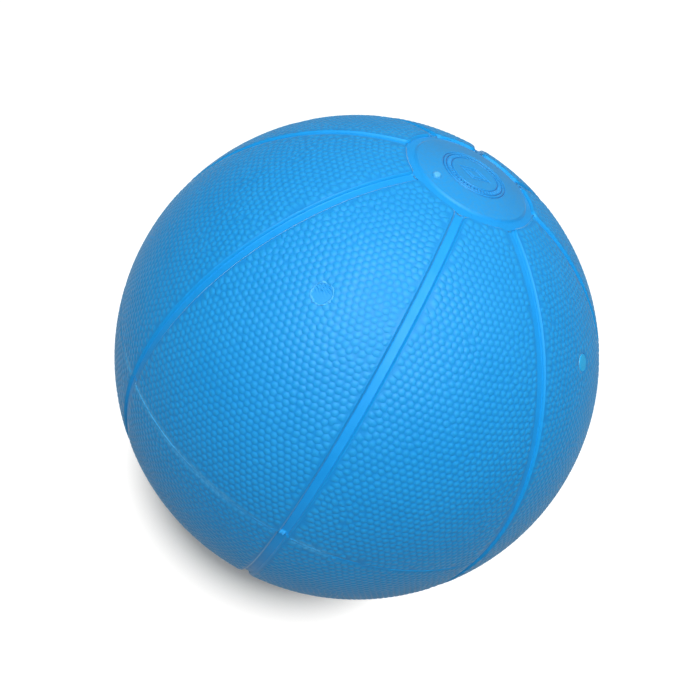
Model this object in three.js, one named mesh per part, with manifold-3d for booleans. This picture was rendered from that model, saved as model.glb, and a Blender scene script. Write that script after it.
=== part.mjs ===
// A hollow rubber medicine ball: pebbled cover panels and smooth channel strips laid over two thick
// core half shells, with a raised disc at each pole and eight plugged core-pin holes.
// Millimetres, +Z along the line through the two polar discs, origin at the ball's centre.
import * as THREE from "three";
import { mergeVertices } from "three/addons/utils/BufferGeometryUtils.js";
import Module from "manifold-3d";

// Driving dimensions
const BALL_R = 120; // over the cover panels
const GAP = 0.3; // between neighbouring pieces
const COVER_THICKNESS = 3;
const CHANNEL_DEPTH = 1.5; // how far the channel floor lies below the panels
const CHANNEL_WIDTH = 5;
const CHANNELS = 8;
const FIRST_CHANNEL_DEG = -90; // a channel runs down the front, on the -Y side
const POLE_RECESS_R = 31.2; // the panels and channels stop here
const DISC_R = 27; // the raised part of a polar disc
const DISC_DOME_R = 119.2; // its face, domed like the panels and a little lower than they are
const DISC_FLAT_R = 11; // the middle of the face is flat, and the ball can rest on it
const DISC_EDGE_ROUND = 0.6;
const CORE_INNER_R = 109.5; // the hollow inside
const SCARF_RISE = 4; // the bonded joint between the half shells slopes by this much
const HOLE_R = 5; // a core-pin hole
const HOLE_LATITUDE_DEG = 44.5;
const HOLES_PER_HALF = 4;
const PLUG_SINK = 0.4; // a plug's face lies this far below the panels
const PLUG_TAPER = 0.5; // and its inner end is this much smaller in radius
const PLUG_CHAMFER = 1;

// Worked out from them
const COVER_INNER_R = BALL_R - COVER_THICKNESS;
const CHANNEL_FLOOR_R = BALL_R - CHANNEL_DEPTH;
const CORE_OUTER_R = COVER_INNER_R - GAP;
const SEAT_R = POLE_RECESS_R + GAP; // a flat seat on the core carries each polar disc
const SEAT_Z = heightOn(CORE_OUTER_R, SEAT_R);
const PITCH = 360 / CHANNELS;
const FIRST_PANEL_DEG = FIRST_CHANNEL_DEG - PITCH / 2; // the middle of panel 1
const HOLE_PITCH = 360 / HOLES_PER_HALF;

// How finely the round surfaces are faceted
const TURN_SEGMENTS = 40;
const ARC_SEGMENTS = 16; // along a meridian, from pole to pole
const DOME_SEGMENTS = 4; // from a disc's edge to its flat middle
const PLUG_SEGMENTS = 16;
const REACH = 3 * BALL_R; // a cutter of this length clears the ball

const wasm = await Module();
wasm.setup();

const radians = THREE.MathUtils.degToRad;

const rubber = {
  cover: satinRubber(0x2f97e8, 0.55),
  channel: satinRubber(0x2590e4, 0.45),
  disc: satinRubber(0x45a0e6, 0.4),
  plug: satinRubber(0x3ba6f0, 0.6),
  core: satinRubber(0x3b4148, 0.8),
};

function satinRubber(color, roughness) {
  return new THREE.MeshStandardMaterial({ color, roughness, metalness: 0 });
}

// The height above the equator of a sphere's surface, at a distance from the axis.
function heightOn(sphereR, fromAxis) {
  return Math.sqrt(sphereR * sphereR - fromAxis * fromAxis);
}

// A closed geometry as a solid. Triangles that shrink to a line on the axis are dropped.
function toSolid(geometry) {
  geometry.deleteAttribute("normal");
  geometry.deleteAttribute("uv");
  const merged = mergeVertices(geometry);
  const corners = [];
  for (let i = 0; i < merged.index.count; i += 3) {
    const [a, b, c] = [0, 1, 2].map((k) => merged.index.getX(i + k));
    if (a !== b && b !== c && c !== a) corners.push(a, b, c);
  }
  const vertProperties = new Float32Array(merged.attributes.position.array);
  const mesh = new wasm.Mesh({ numProp: 3, vertProperties, triVerts: new Uint32Array(corners) });
  return new wasm.Manifold(mesh);
}

function toGeometry(solid) {
  const mesh = solid.getMesh();
  const geometry = new THREE.BufferGeometry();
  geometry.setAttribute("position", new THREE.BufferAttribute(mesh.vertProperties, 3));
  geometry.setIndex(new THREE.BufferAttribute(mesh.triVerts, 1));
  geometry.computeVertexNormals();
  return geometry;
}

// A closed profile of [distance from the axis, height] points, turned round Z. Its outer side runs upwards.
function turned(profile, segments = TURN_SEGMENTS) {
  const points = profile.map(([r, z]) => new THREE.Vector2(r, z));
  return new THREE.LatheGeometry(points, segments).rotateX(Math.PI / 2);
}

// Points along a meridian of a sphere, from one latitude to another.
function meridian(sphereR, fromLatitude, toLatitude, steps) {
  return Array.from({ length: steps + 1 }, (_, i) => {
    const latitude = THREE.MathUtils.lerp(fromLatitude, toLatitude, i / steps);
    return [sphereR * Math.cos(latitude), sphereR * Math.sin(latitude)];
  });
}

// The band between two spheres, stopped at the recess round each pole.
function bandSolid(innerR, outerR) {
  const innerEnd = Math.acos(POLE_RECESS_R / innerR);
  const outerEnd = Math.acos(POLE_RECESS_R / outerR);
  const outside = meridian(outerR, -outerEnd, outerEnd, ARC_SEGMENTS);
  const inside = meridian(innerR, innerEnd, -innerEnd, ARC_SEGMENTS);
  return toSolid(turned([...outside, ...inside, outside[0]]));
}

// The wedge of space that one panel fills. Its sides run parallel to the channels beside it.
function wedgeSolid(middleDeg) {
  const halfAngle = radians(PITCH / 2);
  const apex = (CHANNEL_WIDTH / 2 + GAP) / Math.sin(halfAngle);
  const shape = new THREE.Shape();
  shape.moveTo(apex, 0);
  shape.lineTo(apex + REACH, -REACH * Math.tan(halfAngle));
  shape.lineTo(apex + REACH, REACH * Math.tan(halfAngle));
  shape.closePath();
  const wedge = new THREE.ExtrudeGeometry(shape, { depth: REACH, bevelEnabled: false });
  return toSolid(wedge.translate(0, 0, -REACH / 2).rotateZ(radians(middleDeg)));
}

// The slab of space that one channel strip fills.
function slabSolid(middleDeg) {
  const slab = new THREE.BoxGeometry(REACH, CHANNEL_WIDTH, REACH);
  return toSolid(slab.translate(REACH / 2, 0, 0).rotateZ(radians(middleDeg)));
}

// The turn that carries +Z to the way out of the ball through a hole. The upper half's holes come first.
function holeTurn(hole) {
  const angle = radians(FIRST_PANEL_DEG + hole * HOLE_PITCH);
  const fromPole = radians(90 - HOLE_LATITUDE_DEG);
  const tilt = hole < HOLES_PER_HALF ? fromPole : Math.PI - fromPole;
  return new THREE.Quaternion().setFromEuler(new THREE.Euler(0, tilt, angle, "ZYX"));
}

function drillSolid(hole) {
  const drill = new THREE.CylinderGeometry(HOLE_R, HOLE_R, BALL_R, PLUG_SEGMENTS);
  return toSolid(drill.rotateX(Math.PI / 2).translate(0, 0, BALL_R).applyQuaternion(holeTurn(hole)));
}

function piece(name, geometry, material) {
  const mesh = new THREE.Mesh(geometry, material);
  mesh.name = name;
  return mesh;
}

function coverPanel(index, band, drills) {
  const wedge = wedgeSolid(FIRST_PANEL_DEG + index * PITCH);
  return piece(`cover_panel_${index + 1}`, toGeometry(band.intersect(wedge).subtract(drills)), rubber.cover);
}

function channelStrip(index, band) {
  const slab = slabSolid(FIRST_CHANNEL_DEG + index * PITCH);
  return piece(`channel_strip_${index + 1}`, toGeometry(band.intersect(slab)), rubber.channel);
}

// The lower half's rim reaches up inside the upper half's, so that they meet in a scarf joint.
function coreShell(name, side, drills) {
  const outerRim = Math.asin((side * GAP) / 2 / CORE_OUTER_R);
  const innerRim = Math.asin((SCARF_RISE + (side * GAP) / 2) / CORE_INNER_R);
  const seatEdge = side * Math.acos(SEAT_R / CORE_OUTER_R);
  const profile = [
    ...meridian(CORE_OUTER_R, outerRim, seatEdge, ARC_SEGMENTS / 2),
    [0, side * SEAT_Z],
    ...meridian(CORE_INNER_R, (side * Math.PI) / 2, innerRim, ARC_SEGMENTS / 2),
  ];
  profile.push(profile[0]);
  if (side < 0) profile.reverse();
  return piece(name, toGeometry(toSolid(turned(profile)).subtract(drills)), rubber.core);
}

// A raised disc, domed round a flat middle, in a sunk ring that carries on from the channels' floors.
function polarDisc(name, side) {
  const rimR = POLE_RECESS_R - GAP;
  const shoulderR = DISC_R - DISC_EDGE_ROUND;
  const domeStart = Math.acos(shoulderR / DISC_DOME_R);
  const domeEnd = Math.acos(DISC_FLAT_R / DISC_DOME_R);
  const profile = [
    [0, SEAT_Z + GAP],
    [rimR, SEAT_Z + GAP],
    [rimR, heightOn(CHANNEL_FLOOR_R, rimR)],
    [DISC_R, heightOn(CHANNEL_FLOOR_R, DISC_R)],
    [DISC_R, heightOn(DISC_DOME_R, shoulderR) - DISC_EDGE_ROUND],
    ...meridian(DISC_DOME_R, domeStart, domeEnd, DOME_SEGMENTS),
    [0, heightOn(DISC_DOME_R, DISC_FLAT_R)],
  ];
  const disc = piece(name, turned(profile), rubber.disc);
  if (side < 0) disc.rotation.x = Math.PI;
  return disc;
}

function holePlug(hole) {
  const faceR = HOLE_R - GAP;
  const endR = faceR - PLUG_TAPER;
  const profile = [
    [0, CORE_INNER_R],
    [endR - PLUG_CHAMFER, CORE_INNER_R],
    [endR, CORE_INNER_R + PLUG_CHAMFER],
    [faceR, BALL_R - PLUG_SINK],
    [0, BALL_R - PLUG_SINK],
  ];
  const plug = piece(`hole_plug_${hole + 1}`, turned(profile, PLUG_SEGMENTS), rubber.plug);
  plug.quaternion.copy(holeTurn(hole));
  return plug;
}

const ball = new THREE.Group();
const holes = [...Array(2 * HOLES_PER_HALF).keys()];
const drills = holes.map(drillSolid).reduce((all, drill) => all.add(drill));
const panelBand = bandSolid(COVER_INNER_R, BALL_R);
const stripBand = bandSolid(COVER_INNER_R, CHANNEL_FLOOR_R);
for (let index = 0; index < CHANNELS; index += 1) {
  ball.add(coverPanel(index, panelBand, drills));
  ball.add(channelStrip(index, stripBand));
}
ball.add(polarDisc("polar_disc_top", 1));
ball.add(polarDisc("polar_disc_bottom", -1));
ball.add(coreShell("core_shell_upper", 1, drills));
ball.add(coreShell("core_shell_lower", -1, drills));
for (const hole of holes) ball.add(holePlug(hole));

export default ball;
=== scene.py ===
"""Looks for the rubber medicine ball: pebbled panels, smooth channels, moulded discs and glued plugs.

Metres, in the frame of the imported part: +Z through the two polar discs, origin at the ball's centre.
"""
import math

import bpy
import numpy as np
from mathutils import Matrix, Vector
from mathutils.geometry import delaunay_2d_cdt


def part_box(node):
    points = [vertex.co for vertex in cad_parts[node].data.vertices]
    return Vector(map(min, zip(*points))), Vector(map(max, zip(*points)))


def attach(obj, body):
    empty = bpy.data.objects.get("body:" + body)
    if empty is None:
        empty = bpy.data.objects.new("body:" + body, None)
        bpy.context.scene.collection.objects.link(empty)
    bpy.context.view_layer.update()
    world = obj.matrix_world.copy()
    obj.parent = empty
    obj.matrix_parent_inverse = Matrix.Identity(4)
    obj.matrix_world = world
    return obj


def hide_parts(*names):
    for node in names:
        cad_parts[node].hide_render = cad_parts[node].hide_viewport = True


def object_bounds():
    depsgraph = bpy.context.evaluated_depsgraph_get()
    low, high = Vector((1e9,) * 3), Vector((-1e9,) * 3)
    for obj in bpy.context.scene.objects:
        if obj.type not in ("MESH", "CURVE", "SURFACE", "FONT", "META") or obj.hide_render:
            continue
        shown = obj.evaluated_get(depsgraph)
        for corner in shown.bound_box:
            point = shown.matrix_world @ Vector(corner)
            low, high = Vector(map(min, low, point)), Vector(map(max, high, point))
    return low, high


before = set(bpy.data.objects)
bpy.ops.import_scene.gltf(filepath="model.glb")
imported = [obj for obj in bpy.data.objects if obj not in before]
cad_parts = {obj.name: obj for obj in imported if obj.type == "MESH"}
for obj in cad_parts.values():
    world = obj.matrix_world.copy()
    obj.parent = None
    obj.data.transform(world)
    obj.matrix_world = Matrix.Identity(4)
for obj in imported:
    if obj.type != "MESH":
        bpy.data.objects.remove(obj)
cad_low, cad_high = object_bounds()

MM = 0.001

# Driving sizes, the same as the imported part's
BALL_R = 120 * MM  # over the tops of the pebbles
COVER_DEPTH = 3 * MM  # from the pebble tops to a panel's inner face
CHANNELS = 8
CHANNEL_WIDTH = 5 * MM
CHANNEL_DEPTH = 1.5 * MM
FIRST_CHANNEL_DEG = -90
HOLE_LATITUDE_DEG = 44.5
HOLES_PER_HALF = 4
GAP = 0.3 * MM
DISC_R = 27 * MM
DISC_DOME_R = 119.2 * MM
DISC_FLAT_R = 11 * MM
DISC_RIM_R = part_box("polar_disc_top")[1].x
DISC_SEAT_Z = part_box("polar_disc_top")[0].z
PLUG_INNER_R = 110 * MM  # a plug's inner end, from the ball's centre
POLE_RECESS_R = DISC_RIM_R + GAP
PITCH_DEG = 360 / CHANNELS
FIRST_PANEL_DEG = FIRST_CHANNEL_DEG - PITCH_DEG / 2

# The pebbled surface
PEBBLE_PITCH = 2.96 * MM
PEBBLE_HEIGHT = 0.3 * MM
PEBBLE_JITTER = 0.22  # of the pitch
DOME_SHARE = 0.93  # of the way from a pebble's top to the middle of the gap beside it
DOME_RINGS = ((0.58, 0.2), (1.0, 0.84))  # (share of a pebble's radius, share of its height lost)
SADDLE = 0.9  # the valley between two pebbles, as a share of the pebble height
EDGE_STEP = 1.25 * MM  # between points along a panel's edge
LIP_INSET = 0.4 * MM
EDGE_ROOM = 0.47  # from a pebble's top to the nearest plain point, as a share of the pitch
# A panel's edge below the lip, over the corner and down the wall: (inset, depth)
EDGE_ROWS = (
    (0.2 * MM, 0.26 * MM),
    (0.0, 0.45 * MM),
    (-0.7 * MM, 1.1 * MM),
    (-0.7 * MM, COVER_DEPTH),
)

# The parting line round the equator
SEAM_ROWS = (-0.38 * MM, 0.0, 0.38 * MM)  # of plain points, from the equator
MOULD_SLIP = -0.45 * MM  # how far the lower half is turned against the upper, at the equator
WORN_REACH = 2.3 * MM  # of the paler band, either side of the equator

# The channel strips
FILLET = 1.4 * MM
SKIRT = 1.2 * MM  # how far a strip reaches in under the panels' rounded corners
STRIP_STEPS = 120  # from each pole to the parting line

# The polar discs
DISC_EDGE = 1.1 * MM
MARK_CIRCLES = (14.8 * MM, 13.4 * MM, 11.0 * MM)
TICKS = 48
TICK_SPAN = (11.5 * MM, 12.9 * MM)
ENGRAVED_WIDTH = 0.55 * MM
ENGRAVED_DEPTH = 0.42 * MM
STUD = (-132, 22 * MM, 1.7 * MM, 0.9 * MM)  # longitude, distance from the axis, radius, height

# The glued plugs
VISIBLE_HOLE_R = 4.1 * MM
PLUG_FACE_R = 3.8 * MM
CEMENT_R = 5.3 * MM
# How rough each plug was left, from 0 for trimmed flush to 1 for a sunk face in a ring of cement
PLUG_ROUGHNESS = (1.0, 0.0, 0.6, 0.25, 0.4, 0.8, 0.1, 0.5)

# The camera
CAMERA_AZIMUTH_DEG = -6.8
CAMERA_ELEVATION_DEG = 39.4
CAMERA_ROLL_DEG = 57.0
CAMERA_DISTANCE = 3.3 * BALL_R
CAMERA_LENS = 39.22
AIM = (-0.00813, 0.00865)  # right and up of the ball's centre, as shares of the distance

# The lights: (name, towards up, towards right, size, power), all at one distance
LIGHT_DISTANCE = 1.2
LIGHTS = (
    ("key", 0.36, 0.18, 0.8, 10.3),
    ("softbox", 0.05, -0.05, 1.0, 4.1),
)
SURROUND = (0.05, 0.62)  # its strength at the height of the horizon, and overhead
GAMMA = 0.77

# The floor
FLOOR_REACH = 30.0
FLOOR_SEEN = (1.0, 0.96, 0.9)  # its colour to the camera, bright so that it burns out
FLOOR_LIT = (0.3, 0.3, 0.3)  # its colour to all other rays
FLOOR_BURNT_FROM = 0.57 * BALL_R  # from the middle, where it starts to turn plain white
FLOOR_BURNT_TO = 0.8 * BALL_R


# ---------------------------------------------------------------- small helpers

def unit(points):
    return points / np.linalg.norm(points, axis=-1, keepdims=True)


def on_sphere(lon, lat):
    """Unit vectors at a longitude and latitude in radians."""
    lon, lat = np.broadcast_arrays(lon, lat)
    return np.stack([np.cos(lat) * np.cos(lon), np.cos(lat) * np.sin(lon), np.sin(lat)], axis=-1)


def flat_map(points):
    """A gore round the +X meridian laid flat, in radians: across, along."""
    lat = np.arcsin(np.clip(points[:, 2], -1, 1))
    return np.stack([lon_of(points) * np.cos(lat), lat], axis=1)


def smooth_step(low, high, value):
    t = np.clip((value - low) / (high - low), 0, 1)
    return t * t * (3 - 2 * t)


def wave_noise(points, scale, seed, waves=10):
    """Smooth noise of about +-1, made of plane waves of random directions and about this length."""
    rng = np.random.default_rng(seed)
    total = np.zeros(len(points))
    for _ in range(waves):
        direction = unit(rng.normal(size=points.shape[1])) * rng.uniform(0.6, 1.6) * 2 * math.pi / scale
        total += np.sin(points @ direction + rng.uniform(0, 2 * math.pi))
    return total / math.sqrt(waves)


def lon_of(points):
    return np.arctan2(points[:, 1], points[:, 0])


def turned_z(points, angle):
    c, s = math.cos(angle), math.sin(angle)
    return points @ np.array([[c, s, 0], [-s, c, 0], [0, 0, 1]])


def slip_halves(points):
    """Turns what lies below the equator by the slip between the two halves of the mould."""
    share = smooth_step(0.3 * MM, -0.3 * MM, points[:, 2])
    angle = share * MOULD_SLIP / BALL_R
    c, s = np.cos(angle), np.sin(angle)
    x, y, z = points.T
    return np.stack([c * x - s * y, s * x + c * y, z], axis=1)


def grid_quads(grid):
    """Quads between the rows of a grid of indices whose rows close on themselves."""
    ahead = np.roll(grid, -1, axis=1)
    return np.stack([grid[:-1], ahead[:-1], ahead[1:], grid[1:]], -1).reshape(-1, 4)


def fan(hub, loop):
    """Triangles from one index to each step of a closed loop."""
    return np.stack([np.full(len(loop), hub), loop, np.roll(loop, -1)], 1)


def make_piece(name, points, faces, material, attributes):
    """A piece from points, a list of arrays of triangles or quads, and named values at its points."""
    used = np.zeros(len(points), bool)
    for block in faces:
        used[block] = True
    new_index = np.cumsum(used) - 1
    faces = [new_index[block] for block in faces]
    points = points[used]
    mesh = bpy.data.meshes.new(name)
    mesh.vertices.add(len(points))
    mesh.vertices.foreach_set("co", points.astype(np.float32).ravel())
    corners = np.concatenate([block.ravel() for block in faces])
    sizes = np.concatenate([np.full(len(block), block.shape[1]) for block in faces])
    mesh.loops.add(len(corners))
    mesh.loops.foreach_set("vertex_index", corners.astype(np.int32))
    mesh.polygons.add(len(sizes))
    mesh.polygons.foreach_set("loop_start", (np.cumsum(sizes) - sizes).astype(np.int32))
    mesh.polygons.foreach_set("use_smooth", np.ones(len(sizes), bool))
    for key, values in attributes.items():
        layer = mesh.attributes.new(key, "FLOAT", "POINT")
        layer.data.foreach_set("value", values[used].astype(np.float32))
    mesh.update(calc_edges=True)
    mesh.validate()
    mesh.materials.append(material)
    piece = bpy.data.objects.new(name, mesh)
    bpy.context.scene.collection.objects.link(piece)
    return piece


def stands_for(piece, node):
    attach(piece, "root")
    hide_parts(node)


# ---------------------------------------------------------------- the parting line

def seam_ridge(lon):
    """Height of the flash on the parting line over the valleys. Below 0 it is a crevice."""
    lon_deg = np.degrees(lon)
    slow = np.sin(5 * lon + 0.7) + 0.7 * np.sin(11 * lon + 0.2)
    fine = np.sin(97 * lon) + np.sin(61 * lon + 2.1)
    height = 0.2 + 0.11 * slow + 0.035 * fine
    crevice = smooth_step(6, 3, np.abs(lon_deg + 77) * 1.2)
    return (height * (1 - crevice) - 0.22 * crevice) * MM


def seam_wear(lon):
    """From 0 to 1, how far the pebbles beside the parting line were buffed down."""
    lon_deg = np.degrees(lon)
    front_left = smooth_step(-146, -140, lon_deg) * smooth_step(-99, -104, lon_deg)
    front_right = smooth_step(-89, -87, lon_deg) * smooth_step(-78, -82, lon_deg)
    elsewhere = 0.5 * smooth_step(0.2, 1.0, np.sin(3 * lon + 1))
    return np.maximum(np.maximum(front_left, 0.8 * front_right), elsewhere)


# ---------------------------------------------------------------- the pebbled panels

def panel_outline():
    """The top of a panel's wall as a loop of unit vectors round the +X meridian, with eased corners."""
    end = math.acos(POLE_RECESS_R / BALL_R)
    lat = np.linspace(-end, end, 400)
    half = math.radians(PITCH_DEG / 2) - np.arcsin(CHANNEL_WIDTH / 2 / (BALL_R * np.cos(lat)))
    across = np.linspace(-half[-1], half[-1], 40)[1:-1]
    loop = np.concatenate([
        on_sphere(half, lat),
        on_sphere(-across, end),
        on_sphere(-half[::-1], lat[::-1]),
        on_sphere(across, -end),
    ])
    closed = np.concatenate([loop, loop[:1]])
    along = np.concatenate([[0], np.cumsum(np.linalg.norm(np.diff(closed, axis=0), axis=1))])
    count = round(along[-1] * BALL_R / EDGE_STEP)
    at = np.arange(count) * along[-1] / count
    loop = np.stack([np.interp(at, along, closed[:, k]) for k in range(3)], axis=1)
    for _ in range(3):
        loop = unit(np.roll(loop, 1, 0) + 2 * loop + np.roll(loop, -1, 0))
    return loop


def inset(loop, distance):
    """The loop moved inwards along the surface. Its inside is on its left."""
    along = np.roll(loop, -1, 0) - np.roll(loop, 1, 0)
    inwards = unit(np.cross(loop, along))
    return unit(loop + inwards * distance / BALL_R)


def ring_round(axis, radius, count):
    """A ring of unit vectors round a unit axis, at a distance on the ball's surface."""
    side = unit(np.cross([0, 0, 1.0], axis))
    up = np.cross(axis, side)
    turn = (np.arange(count) * 2 * math.pi / count)[:, None]
    angle = radius / BALL_R
    return math.cos(angle) * axis + math.sin(angle) * (np.cos(turn) * side + np.sin(turn) * up)


def start_pebbles(rng, keep_out):
    """A jittered hexagonal lattice over the flat map, less what is too close to the fixed points."""
    pitch = PEBBLE_PITCH / BALL_R
    rows = np.arange(-1.35, 1.35, pitch * math.sqrt(3) / 2)
    lattice = np.array([
        (across + pitch / 2 * (i % 2), along)
        for i, along in enumerate(rows)
        for across in np.arange(-0.45, 0.45, pitch)
    ])
    lattice += rng.normal(scale=PEBBLE_JITTER * pitch, size=lattice.shape)
    across, lat = lattice.T
    limit = math.radians(PITCH_DEG / 2) * np.cos(lat) - CHANNEL_WIDTH / 2 / BALL_R
    inside = (np.abs(across) < limit) & (np.abs(lat) < math.acos(POLE_RECESS_R / BALL_R))
    points = on_sphere(across / np.cos(lat), lat)[inside]
    nearest = np.full(len(points), 9.0)
    for start in range(0, len(keep_out), 200):
        block = keep_out[start:start + 200]
        nearest = np.minimum(nearest, np.linalg.norm(points[:, None] - block[None], axis=2).min(1))
    return points[nearest > 0.8 * EDGE_ROOM * pitch]


def triangulate(points, edges=()):
    """Delaunay triangles over the flat map, facing outwards, only inside the edges where some are given."""
    flat = flat_map(points)
    result = delaunay_2d_cdt([Vector(p) for p in flat], list(edges), [], 1 if len(edges) else 0, 1e-9)
    source = np.array([given[0] for given in result[3]])
    return source[np.array(result[2])]


def loop_edges(start, count):
    at = start + np.arange(count)
    return list(zip(at.tolist(), np.roll(at, -1).tolist()))


def unique_pairs(triangles):
    """The edges of the triangles, each once, and the three edges of each triangle by number."""
    sides = np.concatenate([triangles[:, [0, 1]], triangles[:, [1, 2]], triangles[:, [2, 0]]])
    pairs, edge_of = np.unique(np.sort(sides, axis=1), axis=0, return_inverse=True)
    return pairs, edge_of.reshape(3, len(triangles)).T


def relax(pebbles, fixed, rounds):
    """Pushes the pebbles apart until they are evenly packed between the fixed points."""
    pitch = PEBBLE_PITCH / BALL_R
    for _ in range(rounds):
        points = np.concatenate([pebbles, fixed])
        pairs = unique_pairs(triangulate(points))[0]
        both = (pairs < len(pebbles)).all(1)
        room = np.where(both, pitch, EDGE_ROOM * pitch)
        apart = points[pairs[:, 1]] - points[pairs[:, 0]]
        length = np.linalg.norm(apart, axis=1)
        push = np.maximum(room - length, 0) / length * np.where(both, 0.32, 0.6)
        move = np.zeros_like(points)
        np.add.at(move, pairs[:, 0], -push[:, None] * apart)
        np.add.at(move, pairs[:, 1], push[:, None] * apart)
        pebbles = unit(pebbles + move[:len(pebbles)])
    return pebbles


def panel_pattern(seed, has_holes):
    """The pebbles and plain points of a panel round the +X meridian, and the triangles between them."""
    rng = np.random.default_rng(seed)
    outline = panel_outline()
    lip = inset(outline, LIP_INSET)
    reach = math.radians(PITCH_DEG / 2) - (CHANNEL_WIDTH / 2 + LIP_INSET + 0.8 * MM) / BALL_R
    seam_lon = np.linspace(-reach, reach, round(2 * reach * BALL_R / EDGE_STEP))
    seam = [on_sphere(seam_lon, row / BALL_R) for row in SEAM_ROWS]
    ring_size = 28
    latitudes = (HOLE_LATITUDE_DEG, -HOLE_LATITUDE_DEG) if has_holes else ()
    axes = [on_sphere(0.0, math.radians(latitude)) for latitude in latitudes]
    rings = [ring_round(axis, VISIBLE_HOLE_R, ring_size) for axis in axes]
    fixed = np.concatenate([lip, *seam, *rings])
    pebbles = relax(start_pebbles(rng, fixed), fixed, 16)
    points = np.concatenate([pebbles, fixed])
    triangles = triangulate(points, loop_edges(len(pebbles), len(lip)))
    for axis in axes:
        in_hole = unit(points[triangles].mean(1)) @ axis > math.cos(0.97 * VISIBLE_HOLE_R / BALL_R)
        triangles = triangles[~in_hole]
    ring_starts = [len(points) - ring_size * (len(rings) - k) for k in range(len(rings))]
    return {
        "points": points,
        "triangles": triangles,
        "pebbles": len(pebbles),
        "outline": outline,
        "rings": [start + np.arange(ring_size) for start in ring_starts],
    }


def doubled(loop):
    """The loop with a point added in the middle of each step."""
    between = unit(loop + np.roll(loop, -1, 0))
    return np.stack([loop, between], 1).reshape(-1, 3)


class Surface:
    """Points on the ball, each with its depth below the pebble tops."""

    def __init__(self):
        self.count = 0
        self.blocks = []

    def add(self, directions, depth):
        """Adds points and returns the index of each."""
        size = len(directions)
        self.blocks.append((directions, np.broadcast_to(depth, size)))
        self.count += size
        return np.arange(self.count - size, self.count)

    def joined(self):
        return [np.concatenate(parts) for parts in zip(*self.blocks)]


def site_relief(sites, domed, rng):
    """How far each site was buffed down, its depth, and the depth of the valley beside it."""
    off_seam = np.abs(sites[:, 2]) * BALL_R
    wear_cement_and_highlight = seam_wear(lon_of(sites)) * smooth_step(1.4 * WORN_REACH, 0.9 * WORN_REACH, off_seam)
    height = PEBBLE_HEIGHT * rng.uniform(0.88, 1.0, len(sites)) * (1 - 0.35 * wear_cement_and_highlight)
    ridge = seam_ridge(lon_of(sites)) * np.exp(-(sites[:, 2] * BALL_R / (0.2 * MM)) ** 2)
    ridge = np.where(domed, 0, ridge)
    site_depth = PEBBLE_HEIGHT - np.where(domed, height, ridge)
    return wear_cement_and_highlight, site_depth, PEBBLE_HEIGHT - ridge


def dome_radii(sites, pairs, mid, rng):
    """Each site's radius: most of the way to the middles of the gaps round it."""
    to_mid = np.linalg.norm(sites[pairs] - mid[:, None], axis=2)
    total = np.zeros(len(sites))
    count = np.zeros(len(sites))
    np.add.at(total, pairs, to_mid)
    np.add.at(count, pairs, 1)
    return DOME_SHARE * total / np.maximum(count, 1) * rng.uniform(0.94, 1.04, len(sites))


def panel_top(surface, sites, triangles, domed, rng):
    """Adds a panel's outer face: a dome on each pebble, and valleys between them.

    Returns its triangles, its quads, and a function that follows a loop of sites along it.
    """
    pairs, edge_of = unique_pairs(triangles)
    wear_cement_and_highlight, site_depth, floor_depth = site_relief(sites, domed, rng)

    # The gaps: a point on each edge between two sites, and one in the middle of each triangle
    share = np.where(domed[pairs], 0.16, 0.84)
    share[domed[pairs].all(1) | ~domed[pairs].any(1)] = 0.5
    mid = unit((sites[pairs] * share[:, :, None]).sum(1))
    centre = unit(mid[edge_of].mean(1))
    mid_depth = np.where(domed[pairs].all(1), SADDLE, 1) * floor_depth[pairs].mean(1)
    centre_depth = floor_depth[triangles].mean(1) * np.where(domed[triangles].all(1), 1.06, 1)
    radius = dome_radii(sites, pairs, mid, rng)
    site_at = surface.add(sites, site_depth)
    mid_at = surface.add(mid, mid_depth)
    centre_at = surface.add(centre, centre_depth)

    def ring(owner, towards, ring_share, lost):
        """Points at a share of the owners' radius, on the way towards the middles of their gaps."""
        step = towards - sites[owner]
        length = np.linalg.norm(step, axis=1)
        go = np.minimum(radius[owner], 0.92 * length) * ring_share
        top = lost * np.where(lost < 0.5, 1 - 0.75 * wear_cement_and_highlight[owner], 1)
        depth = site_depth[owner] + top * (PEBBLE_HEIGHT - site_depth[owner])
        return surface.add(sites[owner] + step * (go / length)[:, None], depth)

    edge_rings = [[ring(pairs[:, end], mid, *level) for end in (0, 1)] for level in DOME_RINGS]
    corner_rings = [
        [ring(triangles[:, corner], centre, *level) for corner in range(3)]
        for level in DOME_RINGS
    ]
    triangle_blocks = []
    quad_blocks = []
    for corner in range(3):
        owner = triangles[:, corner]
        is_dome = domed[owner]
        ahead = edge_of[:, corner]
        behind = edge_of[:, (corner + 2) % 3]
        levels = []
        for (at_first, at_second), at_corner in zip(edge_rings, corner_rings):
            a = np.where(pairs[ahead, 0] == owner, at_first[ahead], at_second[ahead])
            b = np.where(pairs[behind, 0] == owner, at_first[behind], at_second[behind])
            levels.append((a, at_corner[corner], b))
        (a1, c1, b1), (a2, c2, b2) = levels
        top, m_a, m_b = site_at[owner], mid_at[ahead], mid_at[behind]
        quad_blocks.append(np.stack([top, m_a, centre_at, m_b], 1)[~is_dome])
        caps = ((top, a1, c1), (top, c1, b1))
        triangle_blocks += [np.stack(block, 1)[is_dome] for block in caps]
        flanks = ((a1, a2, c2, c1), (c1, c2, b2, b1), (a2, m_a, centre_at, c2), (c2, centre_at, m_b, b2))
        quad_blocks += [np.stack(block, 1)[is_dome] for block in flanks]

    mid_number = {tuple(pair): k for k, pair in enumerate(pairs.tolist())}

    def with_middles(loop):
        """The indices of a loop of sites, with the gap point between each two of them."""
        steps = zip(loop.tolist(), np.roll(loop, -1).tolist())
        between = [mid_at[mid_number[min(i, j), max(i, j)]] for i, j in steps]
        return np.stack([site_at[loop], between], 1).ravel()

    return triangle_blocks, quad_blocks, with_middles


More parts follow.
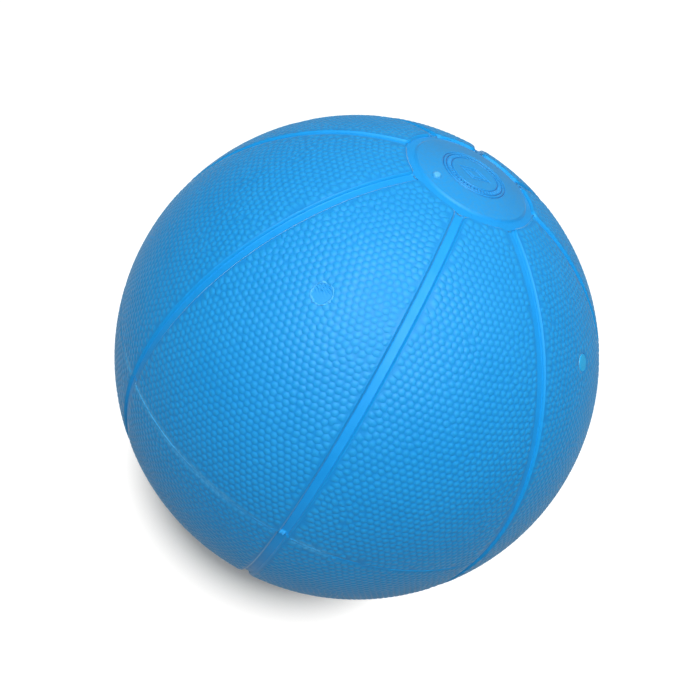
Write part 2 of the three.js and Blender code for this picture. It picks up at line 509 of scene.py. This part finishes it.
def cover_panel(number, pattern, mirror, material):
    """One pebbled panel as a closed body. mirror turns the shared pattern over, across or along or both."""
    rng = np.random.default_rng(100 + number)
    flipped = mirror[0] * mirror[1] < 0
    middle = math.radians(FIRST_PANEL_DEG + (number - 1) * PITCH_DEG)

    def placed(directions):
        return turned_z(directions * (1, *mirror), middle)

    sites = placed(pattern["points"])
    triangles = pattern["triangles"][:, ::-1] if flipped else pattern["triangles"]
    domed = np.arange(len(sites)) < pattern["pebbles"]
    surface = Surface()
    triangle_blocks, quad_blocks, with_middles = panel_top(surface, sites, triangles, domed, rng)

    # Over the edge, down the wall and across the underside
    lip = with_middles(pattern["pebbles"] + np.arange(len(pattern["outline"])))
    outline = doubled(pattern["outline"])
    rows = [lip] + [surface.add(placed(inset(outline, inward)), depth) for inward, depth in EDGE_ROWS]
    walls = [grid_quads(np.array(rows[::-1]))]
    hole_rims = []
    directions = surface.joined()[0]
    for hole in pattern["rings"]:
        upper = with_middles(hole)
        lower = surface.add(directions[upper], COVER_DEPTH)
        walls.append(grid_quads(np.array([upper, lower])))
        hole_rims.append(lower)
    if flipped:
        walls = [block[:, ::-1] for block in walls]
    directions, depth = surface.joined()
    below = underside(turned_z(directions, -middle) * (1, *mirror), [rows[-1], *hole_rims])
    triangle_blocks.append(below[:, ::-1] if flipped else below)
    faces = [np.concatenate(triangle_blocks), np.concatenate(quad_blocks + walls)]

    points = slip_halves(directions * (BALL_R - depth)[:, None])
    shades = panel_shades(directions, depth)
    piece = make_piece(f"pebbled_panel_{number}", points, faces, material, shades)
    stands_for(piece, f"cover_panel_{number}")
    return piece


def panel_shades(directions, depth):
    """How paled by wear, how sunk, and how lit by painted light each point of a panel is, for its material.
    """
    # sunk drives painted shade: the dark colour laid into the valleys between the pebbles.
    sunk = np.where(depth < 2 * PEBBLE_HEIGHT, np.clip(depth / PEBBLE_HEIGHT, 0, 1), 0)
    off_seam = np.abs(directions[:, 2]) * BALL_R
    band = seam_wear(lon_of(directions)) * smooth_step(WORN_REACH, 0.6 * WORN_REACH, off_seam)
    # Painted light: lip lightens the walls and all below the pebble tops, where the channel edges are in
    # shade.
    lip = smooth_step(PEBBLE_HEIGHT, 1.4 * PEBBLE_HEIGHT, depth)
    return {"wear_cement_and_highlight": band * (1 - 0.35 * sunk), "sunk": sunk, "painted_light": lip}


def underside(directions, loops):
    """Triangles over a panel's hidden inner face: inside the first loop and outside the rest."""
    chosen = np.concatenate(loops)
    flat = flat_map(unit(directions[chosen]))
    edges = []
    start = 0
    for loop in loops:
        edges += loop_edges(start, len(loop))
        start += len(loop)
    result = delaunay_2d_cdt([Vector(p) for p in flat], edges, [], 1, 1e-9)
    source = np.array([given[0] for given in result[3]])
    triangles = source[np.array(result[2])]
    start = len(loops[0])
    for loop in loops[1:]:
        hole = np.arange(start, start + len(loop))
        triangles = triangles[~np.isin(triangles, hole).all(1)]
        start += len(loop)
    return chosen[triangles[:, ::-1]]


# ---------------------------------------------------------------- the channel strips

def strip_section():
    """(across, depth) round a strip's section: a flat floor, a fillet at each side, and a hidden skirt."""
    wall = CHANNEL_WIDTH / 2 + 0.05 * MM
    turn = np.radians(np.linspace(0, 50, 5))
    fillet = np.stack([wall - FILLET * (1 - np.sin(turn)), CHANNEL_DEPTH - FILLET * (1 - np.cos(turn))], 1)
    flat = np.stack([np.linspace(0, fillet[0, 0], 6)[:-1], np.full(5, CHANNEL_DEPTH)], 1)
    skirt = wall + SKIRT
    hidden = [[wall, CHANNEL_DEPTH - 0.25 * MM], [skirt, CHANNEL_DEPTH + 0.1 * MM], [skirt, COVER_DEPTH]]
    half = np.concatenate([flat, fillet, hidden])
    return np.concatenate([half, (half * (-1, 1))[:0:-1]])


def strip_flash(number, across, height):
    """How far the parting line stands out of a channel's floor, or in where it is below 0."""
    thin = 0.16 * MM * np.exp(-(height / (0.16 * MM)) ** 2)
    if number == 1:
        lump = np.exp(-((across + 0.75 * MM) / (1.5 * MM)) ** 4)
        ragged = 1 + 0.2 * np.sin(across / (0.23 * MM)) + 0.16 * np.sin(across / (0.41 * MM) + 1)
        slope = smooth_step(1.9 * MM, 0.2 * MM, height) * smooth_step(-0.35 * MM, -0.15 * MM, height)
        return thin + 0.95 * MM * lump * ragged * slope
    if number == CHANNELS:
        return -0.7 * MM * np.exp(-(height / (0.28 * MM)) ** 2) * smooth_step(-2 * MM, -1 * MM, across)
    return thin


def channel_strip(number, material):
    """One smooth strip from pole to pole, with the flash of the parting line across its middle."""
    middle = math.radians(FIRST_CHANNEL_DEG + (number - 1) * PITCH_DEG)
    end = math.acos(DISC_RIM_R / (BALL_R - CHANNEL_DEPTH))
    near = np.arange(-2, 2.001, 0.1) * MM / BALL_R
    far = np.linspace(near[-1], end, STRIP_STEPS)[1:]
    lat = np.concatenate([-far[::-1], near, far])
    section = strip_section()
    across = np.tile(section[:, 0], len(lat))
    depth = np.tile(section[:, 1], len(lat))
    row_lat = np.repeat(lat, len(section))
    height = row_lat * BALL_R
    on_top = depth < CHANNEL_DEPTH + 0.01 * MM
    lift = strip_flash(number, across, height)
    ripple = 0.03 * MM * wave_noise(np.stack([across, height], 1), 9 * MM, 40 + number)
    radius = BALL_R - depth + np.where(on_top, lift + ripple, 0)
    level = np.sqrt(radius ** 2 - across ** 2)
    points = np.stack([level * np.cos(row_lat), across, level * np.sin(row_lat)], 1)
    points = slip_halves(turned_z(points, middle))
    grid = np.arange(len(points)).reshape(len(lat), len(section))
    hubs = points[[grid[0], grid[-1]]].mean(1)
    points = np.concatenate([points, hubs])
    ends = [fan(len(points) - 2, grid[0][::-1]), fan(len(points) - 1, grid[-1])]
    # A painted highlight: paler where the flash stands up out of the channel floor.
    wear_cement_and_highlight = np.where(on_top, 0.5 * smooth_step(0.02 * MM, 0.4 * MM, lift), 0)
    wear_cement_and_highlight = np.concatenate([wear_cement_and_highlight, [0, 0]])
    # Painted light: a tint up the fillets towards the walls, where the corners are in shade.
    painted_light = np.where(on_top, smooth_step(CHANNEL_DEPTH - 0.05 * MM, CHANNEL_DEPTH - 0.4 * MM, depth), 0)
    painted_light = np.concatenate([painted_light, [0, 0]])
    faces = [grid_quads(grid), np.concatenate(ends)]
    shades = {"wear_cement_and_highlight": wear_cement_and_highlight, "painted_light": painted_light}
    piece = make_piece(f"smooth_channel_{number}", points, faces, material, shades)
    stands_for(piece, f"channel_strip_{number}")
    return piece


# ---------------------------------------------------------------- the polar discs

def groove(distance, width=ENGRAVED_WIDTH):
    """How deep a groove is, from 0 to 1, at a distance from its middle line."""
    return np.exp(-(distance / (width / 2)) ** 2)


def disc_marks(x, y):
    """The engraving: three circles, a ring of ticks, and two plain rhombi one inside the other."""
    r = np.hypot(x, y)
    marks = np.max([groove(r - circle) for circle in MARK_CIRCLES], axis=0)
    turn = np.arctan2(y, x) / (2 * math.pi) * TICKS
    aside = np.abs(turn - np.round(turn)) / TICKS * 2 * math.pi * r
    inner, outer = TICK_SPAN
    inside = smooth_step(inner - 0.15 * MM, inner, r) * smooth_step(outer + 0.15 * MM, outer, r)
    marks = np.maximum(marks, groove(aside, 0.62 * MM) * inside)
    for reach in (7.2 * MM, 4.4 * MM):
        edge = (np.abs(x) + np.abs(y) / 0.62 - reach) * 0.53
        marks = np.maximum(marks, groove(edge))
    return marks


def stud_share(x, y, side):
    """1 on the small stud that only the top disc has, and 0 beside it."""
    lon_deg, distance, radius, _ = STUD
    lon = math.radians(lon_deg)
    away = np.hypot(x - distance * math.cos(lon), y - distance * math.sin(lon))
    return (side > 0) * smooth_step(radius + 0.25 * MM, radius - 0.35 * MM, away)


def disc_height(x, y, side):
    """Height of a disc's surface above the ball's middle plane."""
    r = np.hypot(x, y)
    ring = np.sqrt((BALL_R - CHANNEL_DEPTH) ** 2 - r ** 2)
    face = np.sqrt(DISC_DOME_R ** 2 - np.maximum(r, DISC_FLAT_R) ** 2)
    raised = smooth_step(DISC_R + 0.35 * MM, DISC_R - DISC_EDGE, r)
    level = ring + (face - ring) * raised
    level -= ENGRAVED_DEPTH * disc_marks(x, y)
    level -= 0.02 * MM * (1 + wave_noise(np.stack([x, y], 1), 11 * MM, 31 + side)) * raised
    return level + STUD[3] * stud_share(x, y, side)


def disc_rings():
    """Radii of a disc's rings of points, closer together where it is engraved and at its step."""
    stops = ((0.3, 0), (8, 52), (15.8, 84), (25, 46), (27.6, 34), (DISC_RIM_R / MM, 10))
    spans = [
        np.linspace(start, stop, steps + 1)[1:]
        for (start, _), (stop, steps) in zip(stops, stops[1:])
    ]
    return np.concatenate([[stops[0][0]], *spans]) * MM


def polar_disc(name, side, material):
    """A raised disc in a sunk ring, closed underneath."""
    rings = disc_rings()
    turns = 8 * TICKS
    angle = np.arange(turns) * 2 * math.pi / turns
    x = np.concatenate([[0], np.outer(rings, np.cos(angle)).ravel()])
    y = np.concatenate([[0], np.outer(rings, np.sin(angle)).ravel()])
    top = np.stack([x, y, disc_height(x, y, side)], 1)
    rim = np.stack([DISC_RIM_R * np.cos(angle), DISC_RIM_R * np.sin(angle), np.full(turns, DISC_SEAT_Z)], 1)
    points = np.concatenate([top, rim, [[0, 0, DISC_SEAT_Z]]])
    grid = 1 + np.arange((len(rings) + 1) * turns).reshape(-1, turns)
    caps = np.concatenate([fan(0, grid[0]), fan(len(points) - 1, grid[-1][::-1])])
    # Painted shade: the engraved marks take the disc's dark colour.
    marks = np.concatenate([disc_marks(x, y), np.zeros(turns + 1)])
    # A paler, greyer tint on the raised face.
    raised = np.concatenate([smooth_step(DISC_R, DISC_R - DISC_EDGE, np.hypot(x, y)), np.zeros(turns + 1)])
    raised *= 1 - marks
    # A painted highlight: the stud's face is painted paler.
    painted_light = np.concatenate([stud_share(x, y, side), np.zeros(turns + 1)])
    if side < 0:
        points = points * (1, -1, -1)
    faces = [grid_quads(grid)[:, ::-1], caps]
    shades = {"sunk": marks, "wear_cement_and_highlight": raised, "painted_light": painted_light}
    piece = make_piece(f"moulded_{name}", points, faces, material, shades)
    stands_for(piece, name)
    return piece


# ---------------------------------------------------------------- the plugs

def plug_height(number, x, y):
    """Height of a plug over the pebble tops, and how much of it is cement."""
    rough = PLUG_ROUGHNESS[number - 1]
    r = np.hypot(x, y)
    flat = np.stack([x, y], 1)
    seed = 600 + 10 * number
    face_r = PLUG_FACE_R + 0.13 * MM * rough * wave_noise(flat, 5 * MM, seed)
    lumps = wave_noise(flat, 1.4 * MM, seed + 1)
    clumps = wave_noise(flat, 4.5 * MM, seed + 2)
    scuffs = wave_noise(flat * (0.5, 1.7), 1.2 * MM, seed + 3)
    on_face = smooth_step(face_r + 0.35 * MM, face_r - 0.2 * MM, r)
    sunk = (0.12 + 0.34 * rough) * MM
    scuffed = smooth_step(-0.4 * MM, 1.6 * MM, y - 0.5 * x)
    face = -sunk + (0.015 + 0.11 * rough * scuffed) * MM * scuffs
    cement = (-0.14 + 0.12 * lumps + 0.1 * clumps - 0.06 * y / MM / 4) * MM
    apron_r = 4.85 * MM + 0.25 * MM * clumps
    cement -= 0.7 * MM * smooth_step(apron_r - 0.5 * MM, CEMENT_R, r)
    bare = -0.75 * MM
    around = cement if rough > 0.3 else bare
    height = face * on_face + around * (1 - on_face)
    return height, (1 - on_face) * rough


def hole_plug(number, material):
    """A glued plug: a face in its hole, and a ragged ring of cement squeezed out round it."""
    side = 1 if number <= HOLES_PER_HALF else -1
    lon = math.radians(FIRST_PANEL_DEG + (number - 1) % HOLES_PER_HALF * 360 / HOLES_PER_HALF)
    axis = on_sphere(lon, math.radians(side * HOLE_LATITUDE_DEG))
    east = unit(np.cross([0, 0, 1.0], axis))
    north = np.cross(axis, east)
    rim_r = CEMENT_R if PLUG_ROUGHNESS[number - 1] > 0.3 else VISIBLE_HOLE_R - 0.05 * MM
    turns = 96
    rings = np.concatenate([np.linspace(0.15 * MM, 3.2 * MM, 22)[:-1], np.linspace(3.2 * MM, rim_r, 24)])
    angle = np.arange(turns) * 2 * math.pi / turns
    x = np.concatenate([[0], np.outer(rings, np.cos(angle)).ravel()])
    y = np.concatenate([[0], np.outer(rings, np.sin(angle)).ravel()])
    height, cement = plug_height(number, x, y)
    neck_r = VISIBLE_HOLE_R - 0.1 * MM
    below = ((neck_r, BALL_R - 0.9 * MM), (neck_r - 0.3 * MM, PLUG_INNER_R))
    for radius, level in below:
        x = np.concatenate([x, radius * np.cos(angle)])
        y = np.concatenate([y, radius * np.sin(angle)])
        height = np.concatenate([height, np.full(turns, level - BALL_R)])
        cement = np.concatenate([cement, np.zeros(turns)])
    x, y, height, cement = (np.append(values, last) for values, last in
                            ((x, 0), (y, 0), (height, PLUG_INNER_R - BALL_R), (cement, 0)))
    # A painted highlight: plugs trimmed flush are painted brighter over their face.
    trimmed = np.where(height > -0.5 * MM, max(0, 1 - PLUG_ROUGHNESS[number - 1] / 0.3), 0)
    level = np.sqrt((BALL_R + height) ** 2 - x ** 2 - y ** 2)
    points = x[:, None] * east + y[:, None] * north + level[:, None] * axis
    grid = 1 + np.arange((len(rings) + 2) * turns).reshape(-1, turns)
    caps = np.concatenate([fan(0, grid[0]), fan(len(points) - 1, grid[-1][::-1])])
    faces = [grid_quads(grid)[:, ::-1], caps]
    shades = {"wear_cement_and_highlight": cement, "painted_light": trimmed}
    piece = make_piece(f"glued_plug_{number}", points, faces, material, shades)
    stands_for(piece, f"hole_plug_{number}")
    return piece


# ---------------------------------------------------------------- materials

class Nodes:
    """A material being built, with short calls for the nodes it uses."""

    def __init__(self, name):
        self.material = bpy.data.materials.new(name)
        self.material.use_nodes = True
        self.tree = self.material.node_tree
        self.shader = self.tree.nodes["Principled BSDF"]
        self.place = self.tree.nodes.new("ShaderNodeTexCoord").outputs["Object"]

    def link(self, source, target):
        self.tree.links.new(source, target)

    def noise(self, size, detail=2.0, roughness=0.5):
        """Noise from 0 to 1 whose features are about this size."""
        node = self.tree.nodes.new("ShaderNodeTexNoise")
        node.inputs["Scale"].default_value = 1 / size
        node.inputs["Detail"].default_value = detail
        node.inputs["Roughness"].default_value = roughness
        self.link(self.place, node.inputs["Vector"])
        return node.outputs["Fac"]

    def attribute(self, name):
        node = self.tree.nodes.new("ShaderNodeAttribute")
        node.attribute_name = name
        return node.outputs["Fac"]

    def spread(self, value, low, high, to_low, to_high):
        """A value between low and high carried to between to_low and to_high."""
        node = self.tree.nodes.new("ShaderNodeMapRange")
        for key, number in zip(("From Min", "From Max", "To Min", "To Max"), (low, high, to_low, to_high)):
            node.inputs[key].default_value = number
        self.link(value, node.inputs["Value"])
        return node.outputs["Result"]

    def product(self, a, b):
        node = self.tree.nodes.new("ShaderNodeMath")
        node.operation = "MULTIPLY"
        self.link(a, node.inputs[0])
        self.link(b, node.inputs[1])
        return node.outputs[0]

    def mix(self, factor, a, b):
        """Colour a where the factor is 0 and b where it is 1. Each is a colour or a socket."""
        node = self.tree.nodes.new("ShaderNodeMix")
        node.data_type = "RGBA"
        self.link(factor, node.inputs["Factor"])
        for colour, key in ((a, 6), (b, 7)):
            if isinstance(colour, tuple):
                node.inputs[key].default_value = (*colour, 1)
            else:
                self.link(colour, node.inputs[key])
        return node.outputs[2]

    def bump(self, height, distance, strength, under=None):
        node = self.tree.nodes.new("ShaderNodeBump")
        node.inputs["Distance"].default_value = distance
        node.inputs["Strength"].default_value = strength
        self.link(height, node.inputs["Height"])
        if under:
            self.link(under, node.inputs["Normal"])
        return node.outputs["Normal"]


def rubber(name, colour, faded, speck_and_shade_colour, roughness, wear_cement_and_highlight=None, paints_hollow_shade=False, painted_light=None):
    """Moulded rubber: a mottled, specked colour with painted shade in its hollows, a paler tint on wear,
    cement, raised faces and painted highlights, and a tint of painted light.
    """
    nodes = Nodes(name)
    mottle = nodes.spread(nodes.noise(26 * MM, 4, 0.6), 0.35, 0.65, 0, 1)
    base = nodes.mix(mottle, colour, faded)
    specks = nodes.spread(nodes.noise(1.1 * MM, 3, 0.6), 0.62, 0.78, 0, 0.35)
    base = nodes.mix(specks, base, speck_and_shade_colour)
    # Painted shade: the dark colour laid into hollows by the sunk attribute.
    if paints_hollow_shade:
        base = nodes.mix(nodes.spread(nodes.attribute("sunk"), 0.2, 1.05, 0, 0.85), base, speck_and_shade_colour)
    # A paler tint: real wear by the seam, cement, a disc's raised face, and a painted highlight on the
    # channel flash.
    if wear_cement_and_highlight:
        patches = nodes.spread(nodes.noise(1.3 * MM, 2, 0.6), 0.4, 0.58, 0.3, 1)
        base = nodes.mix(nodes.product(nodes.attribute("wear_cement_and_highlight"), patches), base, wear_cement_and_highlight)
    # Painted light: a lighter tint on shaded walls and fillets, and a painted highlight on the disc's stud
    # and on flush plugs.
    if painted_light:
        base = nodes.mix(nodes.spread(nodes.attribute("painted_light"), 0.2, 1, 0, 0.9), base, painted_light)
    nodes.link(base, nodes.shader.inputs["Base Color"])
    smears = nodes.spread(nodes.noise(14 * MM, 5, 0.65), 0.3, 0.7, roughness - 0.06, roughness + 0.07)
    nodes.link(smears, nodes.shader.inputs["Roughness"])
    fine = nodes.bump(nodes.noise(0.35 * MM, 3, 0.6), 0.03 * MM, 0.1)
    broad = nodes.bump(nodes.noise(7 * MM, 2, 0.5), 0.12 * MM, 0.05, under=fine)
    nodes.link(broad, nodes.shader.inputs["Normal"])
    nodes.shader.inputs["IOR"].default_value = 1.5
    nodes.shader.inputs["Sheen Weight"].default_value = 0.45
    nodes.shader.inputs["Sheen Roughness"].default_value = 0.35
    return nodes.material


# ---------------------------------------------------------------- floor, light and camera

def studio_floor():
    """A plain pale floor. It burns out to white away from the ball, and sends little light back up."""
    mesh = bpy.data.meshes.new("studio_floor")
    corners = [(x * FLOOR_REACH, y * FLOOR_REACH, 0) for x, y in ((-1, -1), (1, -1), (1, 1), (-1, 1))]
    mesh.from_pydata(corners, [], [(0, 1, 2, 3)])
    material = bpy.data.materials.new("pale_floor")
    material.use_nodes = True
    tree = material.node_tree
    tree.nodes.remove(tree.nodes["Principled BSDF"])
    seen = tree.nodes.new("ShaderNodeLightPath").outputs["Is Camera Ray"]
    shade = tree.nodes.new("ShaderNodeMix")
    shade.data_type = "RGBA"
    shade.inputs[6].default_value = (*FLOOR_LIT, 1)
    shade.inputs[7].default_value = (*FLOOR_SEEN, 1)
    tree.links.new(seen, shade.inputs["Factor"])
    matt = tree.nodes.new("ShaderNodeBsdfDiffuse")
    tree.links.new(shade.outputs[2], matt.inputs["Color"])
    away = tree.nodes.new("ShaderNodeVectorMath")
    away.operation = "LENGTH"
    tree.links.new(tree.nodes.new("ShaderNodeTexCoord").outputs["Object"], away.inputs[0])
    far = tree.nodes.new("ShaderNodeMapRange")
    far.inputs["From Min"].default_value = FLOOR_BURNT_FROM
    far.inputs["From Max"].default_value = FLOOR_BURNT_TO
    tree.links.new(away.outputs["Value"], far.inputs["Value"])
    burnt = tree.nodes.new("ShaderNodeMath")
    burnt.operation = "MULTIPLY"
    tree.links.new(far.outputs["Result"], burnt.inputs[0])
    tree.links.new(seen, burnt.inputs[1])
    white = tree.nodes.new("ShaderNodeEmission")
    white.inputs["Strength"].default_value = 1.1
    both = tree.nodes.new("ShaderNodeMixShader")
    tree.links.new(burnt.outputs["Value"], both.inputs["Fac"])
    tree.links.new(matt.outputs["BSDF"], both.inputs[1])
    tree.links.new(white.outputs["Emission"], both.inputs[2])
    tree.links.new(both.outputs["Shader"], tree.nodes["Material Output"].inputs["Surface"])
    mesh.materials.append(material)
    floor = bpy.data.objects.new("studio_floor", mesh)
    floor.location.z = cad_low.z
    bpy.context.scene.collection.objects.link(floor)


def camera_axes():
    """The camera's right, up and back, from the angle it looks from."""
    azimuth = math.radians(CAMERA_AZIMUTH_DEG)
    elevation = math.radians(CAMERA_ELEVATION_DEG)
    roll = math.radians(CAMERA_ROLL_DEG)
    back = Vector((
        math.sin(azimuth) * math.cos(elevation),
        -math.cos(azimuth) * math.cos(elevation),
        math.sin(elevation),
    ))
    level_right = Vector((0, 0, 1)).cross(back).normalized()
    level_up = back.cross(level_right)
    right = math.cos(roll) * level_up + math.sin(roll) * level_right
    return right, back.cross(right), back


def add_camera():
    right, up, back = camera_axes()
    data = bpy.data.cameras.new("camera")
    data.sensor_width = 36
    data.lens = CAMERA_LENS
    data.clip_start = 0.01
    data.clip_end = 100
    aim = CAMERA_DISTANCE * (AIM[0] * right + AIM[1] * up)
    back = (back * CAMERA_DISTANCE - aim).normalized()
    right = up.cross(back).normalized()
    up = back.cross(right)
    camera = bpy.data.objects.new("camera", data)
    turn = Matrix((right, up, back)).transposed().to_4x4()
    camera.matrix_world = Matrix.Translation(aim + back * CAMERA_DISTANCE) @ turn
    bpy.context.scene.collection.objects.link(camera)
    bpy.context.scene.camera = camera


def add_light(name, direction, size, power):
    """A square area light that faces the ball."""
    data = bpy.data.lights.new(name, "AREA")
    data.shape = "SQUARE"
    data.size = size
    data.energy = power
    light = bpy.data.objects.new(name, data)
    light.location = direction.normalized() * LIGHT_DISTANCE
    light.rotation_mode = "QUATERNION"
    light.rotation_quaternion = direction.to_track_quat("Z", "Y")
    bpy.context.scene.collection.objects.link(light)


def studio_light():
    """A soft key beside the camera, and a pale surround that fills the shadows."""
    right, up, back = camera_axes()
    for name, towards_up, towards_right, size, power in LIGHTS:
        add_light(name, back + towards_up * up + towards_right * right, size, power)
    world = bpy.data.worlds.new("surround")
    world.use_nodes = True
    tree = world.node_tree
    fill = tree.nodes["Background"]
    fill.inputs["Color"].default_value = (1, 1, 1, 1)
    place = tree.nodes.new("ShaderNodeTexCoord")
    parts = tree.nodes.new("ShaderNodeSeparateXYZ")
    tree.links.new(place.outputs["Generated"], parts.inputs["Vector"])
    rise = tree.nodes.new("ShaderNodeMapRange")
    for key, number in zip(("From Min", "From Max", "To Min", "To Max"), (0.0, 1.0, *SURROUND)):
        rise.inputs[key].default_value = number
    tree.links.new(parts.outputs["Z"], rise.inputs["Value"])
    tree.links.new(rise.outputs["Result"], fill.inputs["Strength"])
    seen = tree.nodes.new("ShaderNodeBackground")
    seen.inputs["Color"].default_value = (1, 1, 1, 1)
    path = tree.nodes.new("ShaderNodeLightPath")
    choose = tree.nodes.new("ShaderNodeMixShader")
    tree.links.new(path.outputs["Is Camera Ray"], choose.inputs["Fac"])
    tree.links.new(fill.outputs["Background"], choose.inputs[1])
    tree.links.new(seen.outputs["Background"], choose.inputs[2])
    tree.links.new(choose.outputs["Shader"], tree.nodes["World Output"].inputs["Surface"])
    bpy.context.scene.world = world
    bpy.context.scene.view_settings.view_transform = "Standard"
    bpy.context.scene.view_settings.gamma = GAMMA


# ---------------------------------------------------------------- the ball

add_camera()
studio_light()
studio_floor()

# cover_rubber: its dark colour is also painted shade in the valleys; its last colour is painted light on
# the walls.
cover_rubber = rubber("cover_rubber", (0.022, 0.37, 0.72), (0.03, 0.39, 0.74), (0.012, 0.31, 0.68), 0.5,
                      wear_cement_and_highlight=(0.12, 0.49, 0.8), paints_hollow_shade=True, painted_light=(0.012, 0.39, 0.76))
# channel_rubber: its paler tint is a painted highlight on the flash; its last colour is painted light up
# the fillets.
channel_rubber = rubber("channel_rubber", (0.012, 0.36, 0.75), (0.018, 0.38, 0.77), (0.01, 0.31, 0.7), 0.5,
                        wear_cement_and_highlight=(0.08, 0.44, 0.78), painted_light=(0.01, 0.36, 0.75))
# disc_rubber: its dark colour is painted shade in the engraved grooves; its paler tint goes on the raised
# face; its last colour is a painted highlight on the stud.
disc_rubber = rubber("disc_rubber", (0.012, 0.36, 0.75), (0.018, 0.38, 0.77), (0.004, 0.1, 0.36), 0.5,
                     wear_cement_and_highlight=(0.05, 0.36, 0.7), paints_hollow_shade=True, painted_light=(0.16, 0.54, 0.86))
# plug_rubber: its paler tint is the cement; its last colour is a painted highlight on flush faces.
plug_rubber = rubber("plug_rubber", (0.02, 0.35, 0.74), (0.03, 0.37, 0.76), (0.012, 0.3, 0.68), 0.5,
                     wear_cement_and_highlight=(0.13, 0.5, 0.82), painted_light=(0.02, 0.52, 0.88))
core_rubber = rubber("core_rubber", (0.03, 0.035, 0.04), (0.04, 0.045, 0.05), (0.015, 0.015, 0.018), 0.75)

plain_pattern = panel_pattern(11, has_holes=False)
holed_pattern = panel_pattern(12, has_holes=True)
mirrors = ((1, 1), (-1, -1), (-1, 1), (1, -1))
for number in range(1, CHANNELS + 1):
    shared = holed_pattern if number % 2 else plain_pattern
    cover_panel(number, shared, mirrors[(number - 1) // 2], cover_rubber)
    channel_strip(number, channel_rubber)
polar_disc("polar_disc_top", 1, disc_rubber)
polar_disc("polar_disc_bottom", -1, disc_rubber)
for number in range(1, 2 * HOLES_PER_HALF + 1):
    hole_plug(number, plug_rubber)
for node in ("core_shell_upper", "core_shell_lower"):
    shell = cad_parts[node]
    shell.data.materials.clear()
    shell.data.materials.append(core_rubber)
